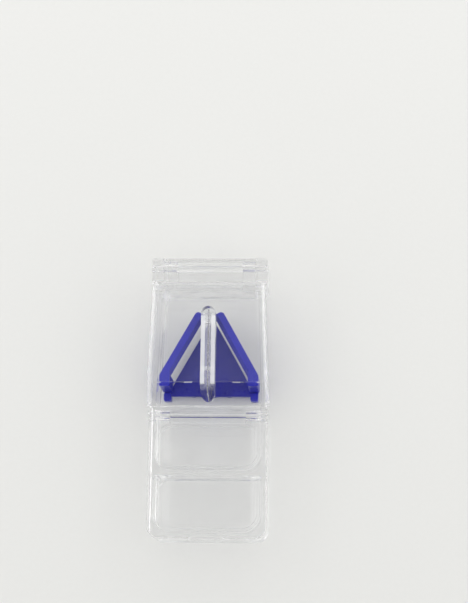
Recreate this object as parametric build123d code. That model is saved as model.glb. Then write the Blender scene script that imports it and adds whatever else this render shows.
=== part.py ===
"""Clear pill splitter: a cutting bay under a hinged lid that carries the blade, and two
tablet wells in front under a lid of their own.

Frame: X across, +Y towards the cutter hinge at the back, +Z up. The origin is on the
underside, in the middle of the footprint. All sizes are in millimetres.
"""
from build123d import *
import math
import os

# ---- overall -------------------------------------------------------------------------
length = 97.0
back_y = length / 2
front_y = -length / 2
floor_thickness = 1.6
gap = 0.3                          # air between pieces that move past each other
running_fit = 0.06                 # radial clearance of a piece that turns on a pin or post
press_fit = 0.03                   # radial clearance of a pin that stays put
huge = 200.0                       # longer than anything here, for cutting shapes
sink = 0.5                         # how far one block reaches into the next one that it joins
glue_gap = 0.05                    # around a piece that is glued in
rod_chamfer_share = 0.25           # of a rod's radius
nearly_upright = 0.99              # the Z share of an edge's direction that counts as upright

# ---- tablet store at the front -------------------------------------------------------
store_half_width = 20.0
store_wall = 2.0
store_front_y = front_y + 1.2
store_rim_z = 17.0
store_corner_radius = 4.2
store_foot_radius = 0.5
store_rim_radius = 0.3
scoop_radius = 6.0                 # round floor edges of the wells
well_corner_radius = 6.2
divider_y = -25.6
divider_thickness = 1.6

# ---- wall between the store and the cutting bay --------------------------------------
mid_wall_front_y = -4.4
mid_wall_back_y = -2.8
mid_wall_top_z = 17.4
shoulder_y = -3.6                  # where the tray steps in from the store to the bay

# ---- cutting bay, a little narrower towards the back ---------------------------------
bay_front_half_width = 19.0
bay_back_half_width = 17.5
bay_back_y = 38.4
bay_wall = 1.2
bay_rim_z = 17.4
bay_back_wall_z = 15.6
bay_rim_end_y = 35.6               # behind this the rim drops to the back wall's height
bay_corner_radius = 1.8
bay_floor_radius = 1.4

# ---- cutter hinge --------------------------------------------------------------------
hinge_y = 44.0
hinge_z = 18.5
hinge_pin_radius = 1.0
hinge_pin_half_length = 19.2
hinge_box_half_width = 19.6
hinge_box_front_y = 38.8
hinge_box_wall = 1.5
hinge_box_corner_radius = 1.8
ear_inner_x = 15.8
ear_top_z = 20.9
ear_back_y = 47.4                  # the ear leans forward from the hinge box's back to here
ear_front_radius = 5.2
ear_back_radius = 1.4
knuckle_inner_x = 11.3
knuckle_outer_x = ear_inner_x - gap
knuckle_radius = 2.6

# ---- cutter lid ----------------------------------------------------------------------
lid_top_z = 25.0
lid_plate = 1.6
lid_front_y = -3.5
lid_ledge_back_y = -2.1            # a narrow flat ledge in front of the slope, for a fingernail
lid_front_half_width = 20.6
lid_back_half_width = 19.0
lid_slope_top_y = 3.9
lid_lip_top_z = 19.2
lid_lip_bottom_z = mid_wall_top_z + gap
lid_slope_thickness = 1.3
lid_skirt_bottom_z = 12.0
lid_skirt_front_y = -3.0
lid_skirt_corner_radius = 3.0
lid_back_wall = 1.4
lid_back_wall_bottom_z = bay_back_wall_z + 0.4
lid_edge_radius = 1.6

# ---- storage lid ---------------------------------------------------------------------
store_hinge_y = -6.3
store_hinge_z = 17.0
store_pin_radius = 0.75
store_pin_half_length = 19.6
store_ear_radius = 1.9
store_knuckle_radius = 1.6
store_knuckle_inner_x = 12.8
store_lid_bottom_z = store_rim_z + gap
store_lid_top_z = store_hinge_z + store_knuckle_radius
store_lid_half_width = 19.9
store_lid_back_y = -8.6
locating_rib = 1.0
locating_rib_depth = 1.2
locating_gap = 0.4
store_lid_edge_radius = 0.7
tab_half_width = 6.0
tab_corner_radius = 1.1

# ---- tablet holder and its arms ------------------------------------------------------
v_half_angle = 29.2                # of each arm from the centre line, degrees
v_slope = math.tan(math.radians(v_half_angle))
table_z = 4.0                      # the surface that the tablet lies on
table_thickness = 1.3
table_front_y = 2.8
table_front_half_width = 13.7
table_shoulder_y = 5.0             # the V starts here
table_shoulder_half_width = 14.0
blade_slot = 1.2
blade_slot_bottom_z = 2.1
channel_half_width = 1.8
rib_inner_x = 5.6
rib_outer_x = 6.8
rib_back_y = 15.0
foot_inner_x = 13.6
foot_outer_x = 16.2
foot_front_y = 0.7
foot_back_y = 3.4
foot_top_z = 6.0
foot_corner_radius = 0.8
foot_relief = 0.7                  # clears the round corner of the bay's floor
peg_x = (foot_inner_x + foot_outer_x) / 2
peg_radius = 0.7
peg_top_z = 4.6
peg_y = 1.8

arm_width = 3.4
arm_bottom_z = table_z + 0.8
arm_top_z = 17.5
arm_outer_x = 16.7
arm_outer_y = 7.5
arm_inner_x = 13.2
arm_front_y = 4.1
arm_tip_y = 29.6
arm_tip_radius = 1.3
arm_front_radius = 0.4
arm_root_x = 15.0                  # the arm turns about an upright root post here
arm_root_y = 5.6
root_post_radius = 1.1
root_post_top_z = 12.0
arm_chamfer = 1.2
undercut_angle = 10.0              # the inner face leans out below, to hold a tablet down
undercut_start = 0.6               # along the arm, behind the corner at its root

# ---- blade and its holder ------------------------------------------------------------
blade_thickness = 0.3
blade_front_y = 1.0
blade_back_y = 29.0
blade_edge_z = 3.0
blade_edge_half_thickness = 0.02
blade_bevel = 1.3
blade_top_z = 21.9
blade_nose_y = 4.8                 # the blade's front top corner is cut off from here...
blade_nose_z = 18.4                # ...down to here, to clear the lid's slope
holder_half_width = 2.42
trench_half_width = 1.05           # between the two ribs
holder_bottom_z = 17.9
holder_tip_y = -1.6
holder_full_y = 1.4
holder_back_y = 30.0
trench_front_y = 3.2
trench_back_y = 27.4
holder_bow = 0.74                  # how full the front end is, as a share of the half-width
holder_bow_forward = 0.3           # how far the fullest point lies in front of the middle
rivet_radius = 0.6
rivet_z = 20.3
rivet_places_y = (9.0, 25.0)


# ---- helpers -------------------------------------------------------------------------
def block(x_low, x_high, y_low, y_high, z_low, z_high):
    """A box between two corners."""
    size = Box(x_high - x_low, y_high - y_low, z_high - z_low)
    middle = Pos((x_low + x_high) / 2, (y_low + y_high) / 2, (z_low + z_high) / 2)
    return middle * size


def slab(points, z_low, z_high):
    """A plan outline of (x, y) points, raised from one height to another."""
    outline = make_face(Polyline(*points, close=True))
    return extrude(Plane.XY.offset(z_low) * outline, z_high - z_low)


def profile(points, x_low, x_high):
    """A side outline of (y, z) points, carried across from one x to another."""
    outline = make_face(Polyline(*points, close=True))
    return extrude(Plane.YZ.offset(x_low) * outline, x_high - x_low)


def rod(radius, x_low, x_high, y, z):
    """A round bar along X."""
    return Pos((x_low + x_high) / 2, y, z) * Rot(0, 90, 0) * Cylinder(radius, x_high - x_low)


def both_sides(solid):
    """The solid and its mirror image across the centre line."""
    return solid + mirror(solid, about=Plane.YZ)


def taper(front_half, back_half, front_line_y, back_line_y, y_low, y_high):
    """A plan outline whose sides run straight through two half-widths."""
    rate = (back_half - front_half) / (back_line_y - front_line_y)
    low = front_half + rate * (y_low - front_line_y)
    high = front_half + rate * (y_high - front_line_y)
    return [(-low, y_low), (low, y_low), (high, y_high), (-high, y_high)]


def upright_edges(solid):
    return solid.edges().filter_by(Axis.Z)


# ---- base tray -----------------------------------------------------------------------
def tray_store():
    """The front block, before its wells are cut."""
    body = block(-store_half_width, store_half_width, store_front_y, shoulder_y, 0, store_rim_z)
    corners = upright_edges(body).group_by(Axis.Y)[0]
    body = fillet(corners, store_corner_radius)
    body = fillet(body.faces().sort_by(Axis.Z)[0].edges(), store_foot_radius)
    return fillet(body.faces().sort_by(Axis.Z)[-1].edges(), store_rim_radius)


def well(y_low, y_high):
    """A tablet well, scooped at the front and sides and upright at the back."""
    half = store_half_width - store_wall
    extra = 2 * scoop_radius
    pocket = block(-half, half, y_low, y_high + extra, floor_thickness, store_rim_z + extra)
    pocket = fillet(upright_edges(pocket), well_corner_radius)
    pocket = fillet(pocket.faces().sort_by(Axis.Z)[0].edges(), scoop_radius)
    return pocket & block(-huge, huge, -huge, y_high, 0, huge)


def tray_bay():
    """The middle block, before the bay is cut."""
    outline = taper(bay_front_half_width, bay_back_half_width, shoulder_y, bay_back_y,
                    shoulder_y - sink, hinge_box_front_y + sink)
    body = slab(outline, 0, bay_rim_z)
    body = body - block(-huge, huge, bay_rim_end_y, huge, bay_back_wall_z, huge)
    return body


def bay_pocket():
    """The inside of the cutting bay."""
    outline = taper(bay_front_half_width - bay_wall, bay_back_half_width - bay_wall,
                    shoulder_y, bay_back_y, mid_wall_back_y, bay_back_y - bay_wall)
    pocket = slab(outline, floor_thickness, huge)
    uprights = [e for e in pocket.edges() if abs(e.tangent_at(0).Z) > nearly_upright]
    pocket = fillet(uprights, bay_corner_radius)
    return fillet(pocket.faces().sort_by(Axis.Z)[0].edges(), bay_floor_radius)


def hinge_box_form(top_z):
    """The hinge box's outer form up to a height, with its two back corners rounded."""
    half = hinge_box_half_width
    form = block(-half, half, hinge_box_front_y, back_y, 0, top_z)
    return fillet(upright_edges(form).group_by(Axis.Y)[-1], hinge_box_corner_radius)


def tray_hinge_box():
    """The open box behind the bay, with an ear at each end for the cutter hinge pin."""
    half = hinge_box_half_width - hinge_box_wall
    inside = block(-half, half, bay_back_y, back_y - hinge_box_wall, floor_thickness, huge)
    return hinge_box_form(bay_back_wall_z) - inside + both_sides(tray_ear())


def tray_ear():
    """One ear, the hinge box's side wall carried up past the pin, with round ends."""
    side = profile([(hinge_box_front_y, 0), (back_y, 0), (back_y, bay_back_wall_z),
                    (ear_back_y, ear_top_z), (hinge_box_front_y, ear_top_z)],
                   ear_inner_x, hinge_box_half_width)
    round_front = rod(ear_front_radius, ear_inner_x, hinge_box_half_width, hinge_y, hinge_z)
    keep = round_front + block(ear_inner_x, huge, hinge_y, huge, 0, huge)
    keep = keep + block(ear_inner_x, huge, 0, huge, 0, hinge_z)
    ear = side & keep & hinge_box_form(ear_top_z)
    top_edges = ear.edges().filter_by(Axis.X).group_by(Axis.Z)[-1]
    return fillet(top_edges.sort_by(Axis.Y)[-1], ear_back_radius)


def store_ears():
    """Two small rounded humps on the store's side walls, for the storage hinge pin."""
    inner = store_half_width - store_wall
    hump = rod(store_ear_radius, inner, store_half_width, store_hinge_y, store_hinge_z)
    return both_sides(hump)


def holder_pegs():
    """Two upright pegs in the bay that the tablet holder's feet press onto."""
    bottom = floor_thickness - sink
    height = peg_top_z - bottom
    peg = Pos(peg_x, peg_y, bottom + height / 2) * Cylinder(peg_radius, height)
    return both_sides(peg)


def base_tray():
    tray = tray_store() + tray_bay() + tray_hinge_box()
    middle = block(-store_half_width + store_wall / 2, store_half_width - store_wall / 2,
                   mid_wall_front_y, mid_wall_back_y, 0, mid_wall_top_z)
    tray = tray + middle
    half = divider_thickness / 2
    tray = tray - well(divider_y + half, mid_wall_front_y)
    tray = tray - well(store_front_y + store_wall, divider_y - half)
    tray = tray - bay_pocket() + store_ears() + holder_pegs()
    pin_holes = rod(hinge_pin_radius + press_fit, -huge, huge, hinge_y, hinge_z)
    store_holes = rod(store_pin_radius + press_fit, -huge, huge, store_hinge_y, store_hinge_z)
    return tray - pin_holes - store_holes


# ---- cutter lid ----------------------------------------------------------------------
def lid_shell():
    """The lid's outer form, before it is hollowed: round edges, and a crisp ridge in front."""
    outline = taper(lid_front_half_width, lid_back_half_width, lid_front_y, bay_back_y,
                    lid_front_y, bay_back_y)
    plan = slab(outline, lid_skirt_bottom_z, lid_top_z)
    side = profile([(lid_front_y, lid_skirt_bottom_z), (lid_front_y, lid_lip_top_z),
                    (lid_ledge_back_y, lid_lip_top_z), (lid_slope_top_y, lid_top_z),
                    (bay_back_y, lid_top_z), (bay_back_y, lid_skirt_bottom_z)], -huge, huge)
    body = plan & side
    soft = body.edges().filter_by(Axis.X).group_by(Axis.Z)[-1].sort_by(Axis.Y)[-1:]
    soft += [e for e in body.edges() if e.center().Z > lid_lip_top_z
             and abs(e.center().X) > lid_back_half_width / 2]
    soft += [e for e in upright_edges(body) if e.center().Y > bay_rim_end_y]
    return fillet(soft, lid_edge_radius)


def lid_hollow(top_gap=0.0):
    """The space under the lid: everything inside its skirts, slope and back wall."""
    inner_front = bay_front_half_width + gap
    inner_back = bay_back_half_width + gap
    plan = slab(taper(inner_front, inner_back, shoulder_y, bay_back_y, front_y, huge), 0, huge)
    rise = (lid_top_z - lid_lip_top_z) / (lid_slope_top_y - lid_ledge_back_y)
    drop = (lid_slope_thickness + top_gap) * math.hypot(1, rise)
    ceiling = lid_top_z - lid_plate - top_gap
    lip_bottom = lid_lip_bottom_z - top_gap
    lip_back_y = lid_ledge_back_y + (lip_bottom + drop - lid_lip_top_z) / rise
    slope_end_y = lid_ledge_back_y + (ceiling + drop - lid_lip_top_z) / rise
    side = profile([(front_y, 0), (front_y, lip_bottom), (lip_back_y, lip_bottom),
                    (slope_end_y, ceiling), (bay_back_y - lid_back_wall, ceiling),
                    (bay_back_y - lid_back_wall, 0)], -huge, huge)
    return plan & side


def lid_knuckle():
    """One of the two hinge barrels, with the arm that joins it to the lid's back wall."""
    barrel = rod(knuckle_radius, knuckle_inner_x, knuckle_outer_x, hinge_y, hinge_z)
    arm = block(knuckle_inner_x, knuckle_outer_x, bay_back_y - lid_back_wall / 2, hinge_y,
                hinge_z - knuckle_radius, hinge_z + knuckle_radius)
    return barrel + arm


def cutter_lid():
    lid = lid_shell() - lid_hollow()
    under_back_wall = block(-bay_back_half_width - gap, bay_back_half_width + gap,
                            bay_back_y - lid_back_wall - sink, huge, 0, lid_back_wall_bottom_z)
    skirt_front = block(-huge, huge, -huge, lid_skirt_front_y, 0, lid_lip_bottom_z)
    lid = lid - under_back_wall - skirt_front
    skirt_corners = lid.edges().filter_by(Axis.X).group_by(Axis.Z)[0].group_by(Axis.Y)[0]
    lid = fillet(skirt_corners, lid_skirt_corner_radius)
    lid = lid + both_sides(lid_knuckle())
    return lid - rod(hinge_pin_radius + running_fit, -huge, huge, hinge_y, hinge_z)


# ---- storage lid ---------------------------------------------------------------------
def storage_plate():
    """The flat lid with its thumb tab and a step in at the hinge."""
    plate = block(-store_lid_half_width, store_lid_half_width, store_front_y, store_lid_back_y,
                  store_lid_bottom_z, store_lid_top_z)
    plate = fillet(upright_edges(plate).group_by(Axis.Y)[0], store_corner_radius)
    tab = block(-tab_half_width, tab_half_width, front_y, store_front_y + sink,
                store_lid_bottom_z, store_lid_top_z)
    tab = fillet(upright_edges(tab).group_by(Axis.Y)[0], tab_corner_radius)
    plate = plate + tab
    return fillet(plate.faces().sort_by(Axis.Z)[-1].edges(), store_lid_edge_radius)


def storage_knuckle():
    """One of the storage lid's two hinge barrels, carried on from the plate."""
    outer = store_half_width - store_wall - gap
    barrel = rod(store_knuckle_radius, store_knuckle_inner_x, outer, store_hinge_y, store_hinge_z)
    arm = block(store_knuckle_inner_x, outer, store_lid_back_y - sink, store_hinge_y,
                store_lid_bottom_z, store_lid_top_z)
    return barrel + arm


def locating_frame(y_low, y_high):
    """A thin rib under the lid that fits inside one well's rim."""
    half = store_half_width - store_wall - locating_gap
    outer = block(-half, half, y_low, y_high, store_lid_bottom_z - locating_rib_depth,
                  store_lid_bottom_z + sink)
    outer = fillet(upright_edges(outer), scoop_radius)
    inner = block(-half + locating_rib, half - locating_rib, y_low + locating_rib,
                  y_high - locating_rib, 0, huge)
    inner = fillet(upright_edges(inner), scoop_radius - locating_rib)
    return outer - inner


def storage_lid():
    beside_divider = divider_thickness / 2 + locating_gap
    frames = locating_frame(divider_y + beside_divider, store_lid_back_y - locating_gap)
    frames = frames + locating_frame(store_front_y + store_wall + locating_gap,
                                     divider_y - beside_divider)
    lid = storage_plate() + both_sides(storage_knuckle()) + frames
    return lid - rod(store_pin_radius + running_fit, -huge, huge, store_hinge_y, store_hinge_z)


# ---- hinge rods ----------------------------------------------------------------------
def hinge_rod(radius, half_length, y, z):
    """A straight rod with its ends chamfered."""
    straight = rod(radius, -half_length, half_length, y, z)
    ends = straight.edges().filter_by(GeomType.CIRCLE)
    return chamfer(ends, radius * rod_chamfer_share)


# ---- tablet holder -------------------------------------------------------------------
def table():
    """The flat floor of the V, which the tablet lies on."""
    tip_y = table_shoulder_y + (table_shoulder_half_width - blade_slot) / v_slope
    right = [(table_front_half_width, table_front_y),
             (table_shoulder_half_width, table_shoulder_y), (blade_slot, tip_y)]
    left = [(-x, y) for x, y in reversed(right)]
    return slab(right + left, table_z - table_thickness, table_z)


def table_supports():
    """The blade channel and two ribs, which carry the table on the tray's floor."""
    middle_z = table_z - table_thickness / 2
    channel_back_y = table_shoulder_y + (table_shoulder_half_width - channel_half_width) / v_slope
    channel = block(-channel_half_width, channel_half_width, table_front_y, channel_back_y,
                    floor_thickness, middle_z)
    rib = block(rib_inner_x, rib_outer_x, table_front_y, rib_back_y, floor_thickness, middle_z)
    return channel + both_sides(rib)


def root_post():
    """The upright post that stands for the arm's bending root."""
    bottom = floor_thickness + foot_relief
    height = root_post_top_z - bottom
    place = Pos(arm_root_x, arm_root_y, bottom + height / 2)
    return place * Cylinder(root_post_radius, height)


def holder_foot():
    """One foot: a block in front and a low sole behind it, under the arm's root post."""
    foot = block(foot_inner_x, foot_outer_x, foot_front_y, foot_back_y,
                 floor_thickness, foot_top_z)
    sole = block(foot_inner_x, foot_outer_x, foot_back_y - sink, arm_root_y + root_post_radius,
                 floor_thickness, table_z)
    foot = foot + sole
    outer_bottom = foot.edges().filter_by(Axis.Y).group_by(Axis.Z)[0].sort_by(Axis.X)[-1]
    foot = chamfer(outer_bottom, foot_relief)
    foot = fillet(upright_edges(foot).group_by(Axis.Y)[0], foot_corner_radius)
    peg_hole_top = peg_top_z + glue_gap
    peg_hole = Pos(peg_x, peg_y, peg_hole_top / 2) * Cylinder(peg_radius, peg_hole_top)
    return foot + root_post() - peg_hole


def tablet_holder():
    holder = table() + table_supports() + both_sides(holder_foot())
    slot = block(-blade_slot / 2, blade_slot / 2, 0, blade_back_y, blade_slot_bottom_z, huge)
    return holder - slot


def grip_arm():
    """The right arm: a bar along the V, bevelled above and undercut below on its inner side."""
    cos_v = math.cos(math.radians(v_half_angle))
    sin_v = math.sin(math.radians(v_half_angle))
    tip_outer = (arm_outer_x - (arm_tip_y - arm_outer_y) * v_slope, arm_tip_y)
    tip_inner = (tip_outer[0] - arm_width * cos_v, tip_outer[1] - arm_width * sin_v)
    inner_y = tip_inner[1] - (arm_inner_x - tip_inner[0]) / v_slope
    outline = [(arm_inner_x, arm_front_y), (arm_outer_x, arm_front_y),
               (arm_outer_x, arm_outer_y), tip_outer, tip_inner, (arm_inner_x, inner_y)]
    bar = slab(outline, arm_bottom_z, arm_top_z)
    middle_x = (tip_inner[0] + arm_inner_x) / 2
    top_edges = bar.edges().group_by(Axis.Z)[-1]
    bevel_edge = [e for e in top_edges if abs(e.center().X - middle_x) < sink]
    bar = chamfer(bevel_edge, arm_chamfer)
    tips = [e for e in upright_edges(bar) if e.center().Y > tip_inner[1] - sink]
    bar = fillet(tips, arm_tip_radius)
    fronts = upright_edges(bar).group_by(Axis.Y)[0]
    bar = fillet(fronts, arm_front_radius)
    inner_corner = (arm_inner_x - undercut_start * sin_v, inner_y + undercut_start * cos_v)
    socket_top = root_post_top_z + gap
    socket = Pos(arm_root_x, arm_root_y, socket_top / 2)
    socket = socket * Cylinder(root_post_radius + running_fit, socket_top)
    return bar - arm_undercut(inner_corner, (cos_v, sin_v)) - socket


def arm_undercut(corner, outward):
    """What is cut away under the bevel, from a corner on the inner face to beyond the tip."""
    face_top_z = arm_top_z - arm_chamfer
    lean = (face_top_z - arm_bottom_z) * math.tan(math.radians(undercut_angle))
    along = (-outward[1], outward[0])
    across = Plane(origin=(*corner, 0), x_dir=(*outward, 0), z_dir=(*along, 0))
    side = 1 if across.y_dir.Z > 0 else -1
    section = [(0, side * face_top_z), (lean, side * arm_bottom_z), (lean, 0),
               (-huge, 0), (-huge, side * face_top_z)]
    return extrude(across * make_face(Polyline(*section, close=True)), huge)


# ---- blade and its holder ------------------------------------------------------------
def blade():
    """A straight strip with a ground edge, and a front top corner that follows the slope."""
    half = blade_thickness / 2
    edge = blade_edge_half_thickness
    face = [(-half, blade_top_z), (half, blade_top_z), (half, blade_edge_z + blade_bevel),
            (edge, blade_edge_z), (-edge, blade_edge_z), (-half, blade_edge_z + blade_bevel)]
    outline = make_face(Polyline(*face, close=True))
    strip = extrude(Plane.XZ.offset(-blade_back_y) * outline, blade_back_y - blade_front_y)
    nose_cut = profile([(0, blade_nose_z), (0, lid_top_z), (blade_nose_y, lid_top_z),
                        (blade_nose_y, blade_top_z)], -blade_thickness, blade_thickness)
    strip = strip - nose_cut
    for y in rivet_places_y:
        strip = strip - rod(rivet_radius + running_fit, -huge, huge, y, rivet_z)
    return strip


def boat_outline():
    """The blade holder from above: straight sides, a blunt bow in front and a round stern."""
    half = holder_half_width
    stern_y = holder_back_y - half
    bow = (half * holder_bow, (holder_tip_y + holder_full_y) / 2 - holder_bow_forward)
    right = Line((half, holder_full_y), (half, stern_y))
    stern = ThreePointArc((half, stern_y), (0, holder_back_y), (-half, stern_y))
    left = Line((-half, stern_y), (-half, holder_full_y))
    left_bow = ThreePointArc((-half, holder_full_y), (-bow[0], bow[1]), (0, holder_tip_y))
    right_bow = ThreePointArc((0, holder_tip_y), bow, (half, holder_full_y))
    return make_face([right, stern, left, left_bow, right_bow])


def blade_holder():
    """Two long ribs with a trench between them, over a solid keel with a slit for the blade."""
    hull = extrude(Plane.XY.offset(holder_bottom_z) * boat_outline(), lid_top_z - holder_bottom_z)
    slit = blade_thickness / 2 + glue_gap
    slit_top_z = blade_top_z + glue_gap
    hull = hull - block(-trench_half_width, trench_half_width, trench_front_y, trench_back_y,
                        slit_top_z, huge)
    hull = hull - block(-slit, slit, blade_front_y - glue_gap, blade_back_y + glue_gap,
                        0, slit_top_z)
    for y in rivet_places_y:
        hull = hull - rod(rivet_radius + press_fit, -huge, huge, y, rivet_z)
    return hull & lid_hollow(glue_gap)


def blade_rivets():
    """Two cross pins, each its own solid."""
    reach = holder_half_width - glue_gap
    pins = [rod(rivet_radius, -reach, reach, y, rivet_z) for y in rivet_places_y]
    return Compound(children=pins)


# ---- write one file per piece --------------------------------------------------------
right_arm = grip_arm()
pieces = {
    "base_tray": base_tray(),
    "cutter_lid": cutter_lid(),
    "storage_lid": storage_lid(),
    "cutter_hinge_pin": hinge_rod(hinge_pin_radius, hinge_pin_half_length, hinge_y, hinge_z),
    "storage_hinge_pin": hinge_rod(store_pin_radius, store_pin_half_length,
                                   store_hinge_y, store_hinge_z),
    "tablet_holder": tablet_holder(),
    "grip_arm_right": right_arm,
    "grip_arm_left": mirror(right_arm, about=Plane.YZ),
    "blade": blade(),
    "blade_holder": blade_holder(),
    "blade_rivets": blade_rivets(),
}

os.makedirs("parts", exist_ok=True)
for name, piece in pieces.items():
    export_step(piece, f"parts/{name}.step")
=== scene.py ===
"""Looks of the clear pill splitter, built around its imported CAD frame.

Every length is in metres, in the CAD frame: X across, +Y towards the cutter hinge,
+Z up, with the origin in the middle of the underside.
"""
import math

import bpy
from mathutils import Matrix, Vector


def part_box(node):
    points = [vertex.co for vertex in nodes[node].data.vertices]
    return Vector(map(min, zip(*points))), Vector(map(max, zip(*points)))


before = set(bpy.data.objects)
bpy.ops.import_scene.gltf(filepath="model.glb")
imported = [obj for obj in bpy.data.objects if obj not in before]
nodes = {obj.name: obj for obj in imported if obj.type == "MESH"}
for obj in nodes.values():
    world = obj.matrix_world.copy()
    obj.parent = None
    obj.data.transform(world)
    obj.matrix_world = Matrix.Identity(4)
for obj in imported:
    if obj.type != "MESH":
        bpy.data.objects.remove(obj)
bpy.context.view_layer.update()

millimetre = 0.001

# ---- camera --------------------------------------------------------------------------
camera_target = Vector((0.0071, 0.0370, 0.0))
camera_distance = 0.588
camera_elevation = math.radians(77)
camera_side = math.radians(3.5)
camera_roll = math.radians(-0.8)
camera_lens = 100
camera_sensor = 36

# ---- finishes ------------------------------------------------------------------------
clear_ior = 1.49
blue_ior = 1.54
skirt_taper = 0.0357               # how fast the lid's sides draw in towards the back
lid_low, lid_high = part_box("cutter_lid")
# The lid's side skirts are made a little cloudy as a painted highlight, in place of the lamps'
# reflection along their edges.
skirt_inner_x = lid_high[0] - 1.8 * millimetre
skirt_blend = 0.4 * millimetre     # over this much the lid goes from clear to its cloudy skirts, a painted highlight
skirt_highlight_transmission = 0.84
skirt_highlight_haze = 0.16

blade_low, blade_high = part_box("blade")
# The blade holder's rib tops are painted white as a highlight, in place of the lamps' reflection
# in them; these set where that white lies.
rib_highlight_front_y = blade_low[1] + 2.2 * millimetre
rib_highlight_front_blend = 0.7 * millimetre
rib_highlight_back_y = blade_high[1] - 2.6 * millimetre
rib_highlight_back_blend = 1.2 * millimetre
rib_highlight_bottom_z = blade_high[2] + 0.9 * millimetre
rib_highlight_bottom_blend = 0.3 * millimetre
rib_highlight_lower_share = 0.22           # how much of the ribs' painted white highlight the holder has lower down, painted light that brightens the trough
rib_highlight_transmission = 0.35
clear_tint = (0.998, 0.999, 1.0)
shadow_tint = (0.996, 0.997, 0.998)
blue_shadow_tint = (0.66, 0.67, 0.80)
blue_deep = (0.002, 0.004, 0.330)
blue_pale = (0.006, 0.008, 0.410)
steel_colour = (0.60, 0.59, 0.64)
steel_line_shade = 0.8             # the grinding lines' share of the steel's colour
holder_colour = (0.97, 0.972, 0.985)
floor_dark = (0.755, 0.755, 0.74)
floor_pale = (0.78, 0.78, 0.765)

# ---- room ----------------------------------------------------------------------------
# The room is pale all round, a little dimmer overhead, with one dark patch low in front.
horizon_light = (0.72, 0.72, 0.72)
high_light = (0.65, 0.65, 0.64)
overhead_centre = (0.0, 0.16, 0.987)
overhead_dark = 0.85
front_centre = (0.0, -0.94, 0.34)
front_dark = 0.20
patch_edge = 0.955                 # cosines from a patch's centre to its edge...
patch_full = 0.985                 # ...and to where it is at its darkest
panel_size = (1.2, 0.6)
panel_out = 0.60
side_panel_y = 0.02
back_panel_y = 0.62
panel_height = 0.34
side_power = 2.3
back_power = 2.0
middle = Vector((0, 0, 0.01))      # what the panels are turned towards
floor_half = 2.0
floor_gap = 0.05 * millimetre      # under the tray, so that no two faces coincide
light_bounces = 96                 # light is reflected many times inside the clear tray


# ---- material helpers ----------------------------------------------------------------
def new_material(name):
    """An empty node material with its output: (material, node tree, output node)."""
    made = bpy.data.materials.new(name)
    made.use_nodes = True
    tree = made.node_tree
    tree.nodes.clear()
    return made, tree, tree.nodes.new("ShaderNodeOutputMaterial")


def object_places(tree, scale):
    """Object coordinates stretched by a scale for each axis."""
    places = tree.nodes.new("ShaderNodeTexCoord")
    mapping = tree.nodes.new("ShaderNodeMapping")
    mapping.inputs["Scale"].default_value = scale
    tree.links.new(places.outputs["Object"], mapping.inputs["Vector"])
    return mapping.outputs["Vector"]


def noise(tree, scale, detail=4.0, roughness=0.55, distortion=0.0):
    """A noise value over object coordinates, with a scale for each axis."""
    texture = tree.nodes.new("ShaderNodeTexNoise")
    texture.inputs["Scale"].default_value = 1.0
    texture.inputs["Detail"].default_value = detail
    texture.inputs["Roughness"].default_value = roughness
    texture.inputs["Distortion"].default_value = distortion
    tree.links.new(object_places(tree, scale), texture.inputs["Vector"])
    return texture.outputs["Fac"]


def to_range(tree, value, low_in, high_in, low_out, high_out):
    """The value carried from one range to another, clamped."""
    ranged = tree.nodes.new("ShaderNodeMapRange")
    tree.links.new(value, ranged.inputs["Value"])
    ranged.inputs["From Min"].default_value = low_in
    ranged.inputs["From Max"].default_value = high_in
    ranged.inputs["To Min"].default_value = low_out
    ranged.inputs["To Max"].default_value = high_out
    return ranged.outputs["Result"]


def combine(tree, operation, first, second):
    """One math node on two values."""
    node = tree.nodes.new("ShaderNodeMath")
    node.operation = operation
    tree.links.new(first, node.inputs[0])
    tree.links.new(second, node.inputs[1])
    return node.outputs["Value"]


def bump(tree, height, distance, strength, under=None):
    """A bump from a height, over another bump if one is given."""
    node = tree.nodes.new("ShaderNodeBump")
    node.inputs["Distance"].default_value = distance
    node.inputs["Strength"].default_value = strength
    tree.links.new(height, node.inputs["Height"])
    if under is not None:
        tree.links.new(under, node.inputs["Normal"])
    return node.outputs["Normal"]


def colour_between(tree, value, low, high):
    """A colour from one to another as the value goes from 0 to 1."""
    ramp = tree.nodes.new("ShaderNodeValToRGB")
    ramp.color_ramp.elements[0].color = (*low, 1)
    ramp.color_ramp.elements[1].color = (*high, 1)
    tree.links.new(value, ramp.inputs["Fac"])
    return ramp.outputs["Color"]


def scuffs(tree, across, along):
    """Sparse fine handling scratches, as a value from 0 to 1."""
    streaks = noise(tree, (across, along, across), detail=2.0, distortion=0.4)
    patches = noise(tree, (90, 90, 90), detail=2.0)
    thin = to_range(tree, streaks, 0.66, 0.72, 0.0, 1.0)
    where = to_range(tree, patches, 0.45, 0.65, 0.0, 1.0)
    return combine(tree, "MULTIPLY", thin, where)


def light_passing(tree, shader_output, tint):
    """The shader, with lamps let through it and tinted."""
    passed = tree.nodes.new("ShaderNodeBsdfTransparent")
    passed.inputs["Color"].default_value = (*tint, 1)
    rays = tree.nodes.new("ShaderNodeLightPath")
    mix = tree.nodes.new("ShaderNodeMixShader")
    tree.links.new(rays.outputs["Is Shadow Ray"], mix.inputs["Fac"])
    tree.links.new(shader_output, mix.inputs[1])
    tree.links.new(passed.outputs["BSDF"], mix.inputs[2])
    return mix.outputs["Shader"]


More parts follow.
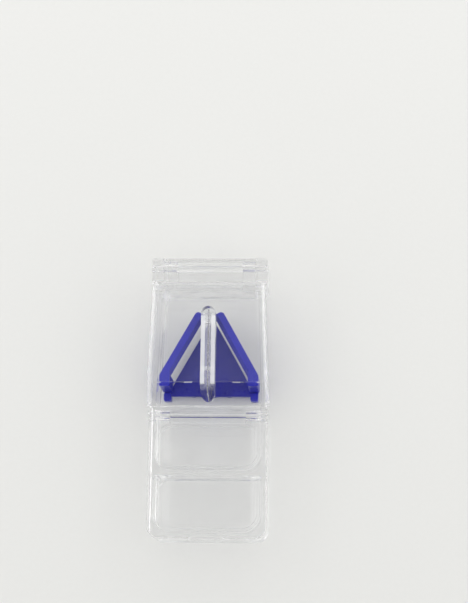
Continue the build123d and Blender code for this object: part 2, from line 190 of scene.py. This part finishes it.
# ---- materials -----------------------------------------------------------------------
def clear_plastic(name, waviness):
    """Clear moulded plastic with faint flow waves and handling scuffs, which lets light pass.

    Returns (material, node tree, shader, roughness value), so that a piece can add to it.
    """
    made, tree, output = new_material(name)
    shader = tree.nodes.new("ShaderNodeBsdfPrincipled")
    shader.inputs["Base Color"].default_value = (*clear_tint, 1)
    shader.inputs["IOR"].default_value = clear_ior
    shader.inputs["Transmission Weight"].default_value = 1.0
    haze = to_range(tree, noise(tree, (160, 160, 160)), 0.35, 0.7, 0.012, 0.05)
    marks = to_range(tree, scuffs(tree, 2600, 90), 0.0, 1.0, 0.0, 0.16)
    rough = combine(tree, "ADD", haze, marks)
    tree.links.new(rough, shader.inputs["Roughness"])
    waves = bump(tree, noise(tree, (70, 70, 70), detail=1.0), waviness * millimetre, 0.5)
    tree.links.new(waves, shader.inputs["Normal"])
    tree.links.new(light_passing(tree, shader.outputs["BSDF"], shadow_tint),
                   output.inputs["Surface"])
    return made, tree, shader, rough


def paint_skirt_highlight(tree, shader, rough):
    """Paints a highlight on the lid's two side skirts: makes them a little cloudy, so that they
    look whiter, in place of the lamps' reflection along their edges.
    """
    places = tree.nodes.new("ShaderNodeTexCoord")
    split = tree.nodes.new("ShaderNodeSeparateXYZ")
    tree.links.new(places.outputs["Object"], split.inputs["Vector"])
    across = tree.nodes.new("ShaderNodeMath")
    across.operation = "ABSOLUTE"
    tree.links.new(split.outputs["X"], across.inputs[0])
    straightened = tree.nodes.new("ShaderNodeMath")
    straightened.operation = "MULTIPLY_ADD"
    tree.links.new(split.outputs["Y"], straightened.inputs[0])
    straightened.inputs[1].default_value = skirt_taper
    tree.links.new(across.outputs["Value"], straightened.inputs[2])
    on_skirts = to_range(tree, straightened.outputs["Value"], skirt_inner_x,
                         skirt_inner_x + skirt_blend, 0.0, 1.0)
    tree.links.new(to_range(tree, on_skirts, 0.0, 1.0, 1.0, skirt_highlight_transmission),
                   shader.inputs["Transmission Weight"])
    highlight_satin = to_range(tree, on_skirts, 0.0, 1.0, 0.0, skirt_highlight_haze)
    tree.links.new(combine(tree, "ADD", rough, highlight_satin), shader.inputs["Roughness"])


def highlighted_holder_plastic():
    """The blade holder's polystyrene, with the rib tops painted white as a highlight in place of
    the lamps' reflection in them; lower down a fainter share of that white is painted light that
    brightens the trough, and the nose and stern are clear.
    """
    made, tree, output = new_material("highlighted_holder_plastic")
    shader = tree.nodes.new("ShaderNodeBsdfPrincipled")
    places = tree.nodes.new("ShaderNodeTexCoord")
    split = tree.nodes.new("ShaderNodeSeparateXYZ")
    tree.links.new(places.outputs["Object"], split.inputs["Vector"])
    along = split.outputs["Y"]
    up = split.outputs["Z"]
    behind_nose = to_range(tree, along, rib_highlight_front_y, rib_highlight_front_y + rib_highlight_front_blend,
                           0.0, 1.0)
    before_stern = to_range(tree, along, rib_highlight_back_y, rib_highlight_back_y + rib_highlight_back_blend,
                            1.0, 0.0)
    on_ribs = to_range(tree, up, rib_highlight_bottom_z, rib_highlight_bottom_z + rib_highlight_bottom_blend,
                       rib_highlight_lower_share, 1.0)
    lengthwise = combine(tree, "MULTIPLY", behind_nose, before_stern)
    rib_highlight = combine(tree, "MULTIPLY", lengthwise, on_ribs)
    tree.links.new(to_range(tree, rib_highlight, 0.0, 1.0, 1.0, rib_highlight_transmission),
                   shader.inputs["Transmission Weight"])
    grain = to_range(tree, noise(tree, (2400, 2400, 2400)), 0.3, 0.7, 0.02, 0.12)
    tree.links.new(combine(tree, "ADD", grain, to_range(tree, rib_highlight, 0.0, 1.0, 0.03, 0.28)),
                   shader.inputs["Roughness"])
    shader.inputs["Base Color"].default_value = (*holder_colour, 1)
    shader.inputs["IOR"].default_value = clear_ior
    tree.links.new(light_passing(tree, shader.outputs["BSDF"], shadow_tint),
                   output.inputs["Surface"])
    return made


def blue_plastic():
    """Satin royal blue moulding with a fine skin texture and slight colour drift."""
    made, tree, output = new_material("blue_plastic")
    shader = tree.nodes.new("ShaderNodeBsdfPrincipled")
    drift = to_range(tree, noise(tree, (110, 70, 90), detail=3.0), 0.35, 0.65, 0.0, 1.0)
    tree.links.new(colour_between(tree, drift, blue_deep, blue_pale), shader.inputs["Base Color"])
    rough = to_range(tree, noise(tree, (900, 900, 900)), 0.3, 0.7, 0.26, 0.36)
    marks = to_range(tree, scuffs(tree, 3200, 160), 0.0, 1.0, 0.0, 0.2)
    tree.links.new(combine(tree, "ADD", rough, marks), shader.inputs["Roughness"])
    grain = bump(tree, noise(tree, (5200, 5200, 5200), detail=2.0), 0.02 * millimetre, 0.5)
    flow = bump(tree, noise(tree, (150, 90, 120), detail=1.0), 0.12 * millimetre, 0.4, grain)
    tree.links.new(flow, shader.inputs["Normal"])
    shader.inputs["IOR"].default_value = blue_ior
    shader.inputs["Subsurface Weight"].default_value = 0.08
    shader.inputs["Subsurface Radius"].default_value = (0.2, 0.25, 1.0)
    shader.inputs["Subsurface Scale"].default_value = 0.6 * millimetre
    tree.links.new(light_passing(tree, shader.outputs["BSDF"], blue_shadow_tint),
                   output.inputs["Surface"])
    return made


def ground_steel(name, grind_scale, rough_low, rough_high):
    """Thin bright steel strip, with grinding lines across it."""
    made, tree, output = new_material(name)
    shader = tree.nodes.new("ShaderNodeBsdfPrincipled")
    shader.inputs["Metallic"].default_value = 1.0
    lines = noise(tree, grind_scale, detail=3.0, roughness=0.7)
    dark = tuple(steel_line_shade * channel for channel in steel_colour)
    tree.links.new(colour_between(tree, lines, dark, steel_colour), shader.inputs["Base Color"])
    tree.links.new(to_range(tree, lines, 0.3, 0.7, rough_low, rough_high),
                   shader.inputs["Roughness"])
    tree.links.new(bump(tree, lines, 0.01 * millimetre, 0.5), shader.inputs["Normal"])
    tree.links.new(shader.outputs["BSDF"], output.inputs["Surface"])
    return made


def pale_card():
    """The plain pale floor, with a faint paper tooth."""
    made, tree, output = new_material("pale_floor")
    shader = tree.nodes.new("ShaderNodeBsdfPrincipled")
    fibres = noise(tree, (700, 700, 700))
    tree.links.new(colour_between(tree, fibres, floor_dark, floor_pale),
                   shader.inputs["Base Color"])
    shader.inputs["Roughness"].default_value = 0.75
    tree.links.new(bump(tree, fibres, 0.05 * millimetre, 0.3), shader.inputs["Normal"])
    tree.links.new(shader.outputs["BSDF"], output.inputs["Surface"])
    return made


# ---- finishes on the CAD nodes -------------------------------------------------------
def dress(node, finish):
    """Gives a CAD node its material."""
    piece = nodes[node]
    piece.data.materials.clear()
    piece.data.materials.append(finish)


clear_tray = clear_plastic("clear_tray", 0.5)[0]
clear_store_lid = clear_plastic("clear_store_lid", 0.35)[0]
clear_lid, lid_tree, lid_shader, lid_rough = clear_plastic("clear_lid", 0.35)
# painted highlight: the lid's side skirts made cloudy so that they look white
paint_skirt_highlight(lid_tree, lid_shader, lid_rough)
blue = blue_plastic()
blade_steel = ground_steel("blade_steel", (300, 500, 60), 0.18, 0.34)

for node in ("base_tray", "cutter_hinge_pin", "storage_hinge_pin", "blade_rivets"):
    dress(node, clear_tray)
dress("cutter_lid", clear_lid)
dress("storage_lid", clear_store_lid)
for node in ("tablet_holder", "grip_arm_right", "grip_arm_left"):
    dress(node, blue)
dress("blade", blade_steel)
# painted highlight: the blade holder's rib tops whitened, and its trough a little lighter
dress("blade_holder", highlighted_holder_plastic())


# ---- floor, lights and camera --------------------------------------------------------
def floor():
    """The plain floor, a hair below the tray."""
    mesh = bpy.data.meshes.new("floor")
    corners = [(-floor_half, -floor_half, 0), (floor_half, -floor_half, 0),
               (floor_half, floor_half, 0), (-floor_half, floor_half, 0)]
    mesh.from_pydata(corners, [], [(0, 1, 2, 3)])
    plane = bpy.data.objects.new("floor", mesh)
    plane.location.z = -floor_gap
    bpy.context.scene.collection.objects.link(plane)
    mesh.materials.append(pale_card())


def softbox(name, place, power, seen_through_plastic=True):
    """A rectangular area light at a place, turned towards the middle of the object."""
    data = bpy.data.lights.new(name, "AREA")
    data.shape = "RECTANGLE"
    data.size, data.size_y = panel_size
    data.energy = power
    lamp = bpy.data.objects.new(name, data)
    lamp.location = place
    lamp.visible_camera = False
    lamp.visible_transmission = seen_through_plastic
    lamp.rotation_mode = "QUATERNION"
    lamp.rotation_quaternion = (middle - Vector(place)).to_track_quat("-Z", "Y")
    bpy.context.scene.collection.objects.link(lamp)


def near_direction(tree, direction, centre, start, full):
    """1 where a direction is within a cone about the centre, falling to 0 outside it."""
    closeness = tree.nodes.new("ShaderNodeVectorMath")
    closeness.operation = "DOT_PRODUCT"
    tree.links.new(direction, closeness.inputs[0])
    closeness.inputs[1].default_value = Vector(centre).normalized()
    return to_range(tree, closeness.outputs["Value"], start, full, 0.0, 1.0)


def darker(tree, colour, where, share):
    """The colour multiplied down to a share of itself where the value is 1."""
    mix = tree.nodes.new("ShaderNodeMixRGB")
    mix.blend_type = "MULTIPLY"
    tree.links.new(where, mix.inputs["Fac"])
    tree.links.new(colour, mix.inputs["Color1"])
    mix.inputs["Color2"].default_value = (share, share, share, 1)
    return mix.outputs["Color"]


def studio_world():
    """A soft pale room, a little dimmer overhead, with one dark patch low in front."""
    world = bpy.data.worlds.new("studio")
    world.use_nodes = True
    tree = world.node_tree
    tree.nodes.clear()
    output = tree.nodes.new("ShaderNodeOutputWorld")
    light = tree.nodes.new("ShaderNodeBackground")
    places = tree.nodes.new("ShaderNodeTexCoord")
    direction = places.outputs["Generated"]
    split = tree.nodes.new("ShaderNodeSeparateXYZ")
    tree.links.new(direction, split.inputs["Vector"])
    height = to_range(tree, split.outputs["Z"], 0.0, 0.5, 0.0, 1.0)
    colour = colour_between(tree, height, horizon_light, high_light)
    overhead = near_direction(tree, direction, overhead_centre, patch_edge, patch_full)
    colour = darker(tree, colour, overhead, overhead_dark)
    in_front = near_direction(tree, direction, front_centre, patch_edge, patch_full)
    colour = darker(tree, colour, in_front, front_dark)
    tree.links.new(colour, light.inputs["Color"])
    light.inputs["Strength"].default_value = 1.0
    tree.links.new(light.outputs["Background"], output.inputs["Surface"])
    bpy.context.scene.world = world


def camera():
    """The photographer's view: almost straight down, a little from the front."""
    lean = math.cos(camera_elevation)
    towards = Vector((math.sin(camera_side), -lean * math.cos(camera_side),
                      math.sin(camera_elevation))).normalized()
    data = bpy.data.cameras.new("camera")
    data.lens = camera_lens
    data.sensor_width = camera_sensor
    data.clip_start = 0.01
    data.clip_end = 10.0
    eye = bpy.data.objects.new("camera", data)
    eye.location = camera_target + towards * camera_distance
    level = Vector((0, 1, 0)).cross(towards).normalized()
    right = Matrix.Rotation(-camera_roll, 3, towards) @ level
    turn = Matrix((right, towards.cross(right), towards)).transposed()
    eye.rotation_mode = "QUATERNION"
    eye.rotation_quaternion = turn.to_quaternion()
    bpy.context.scene.collection.objects.link(eye)
    bpy.context.scene.camera = eye


floor()
studio_world()
softbox("left_panel", (-panel_out, side_panel_y, panel_height), side_power)
softbox("right_panel", (panel_out, side_panel_y, panel_height), side_power)
softbox("back_panel", (0.0, back_panel_y, panel_height), back_power, seen_through_plastic=False)
camera()
cycles = bpy.context.scene.cycles
cycles.max_bounces = light_bounces
cycles.transmission_bounces = light_bounces
cycles.transparent_max_bounces = light_bounces
cycles.glossy_bounces = light_bounces
bpy.context.scene.view_settings.view_transform = "Standard"
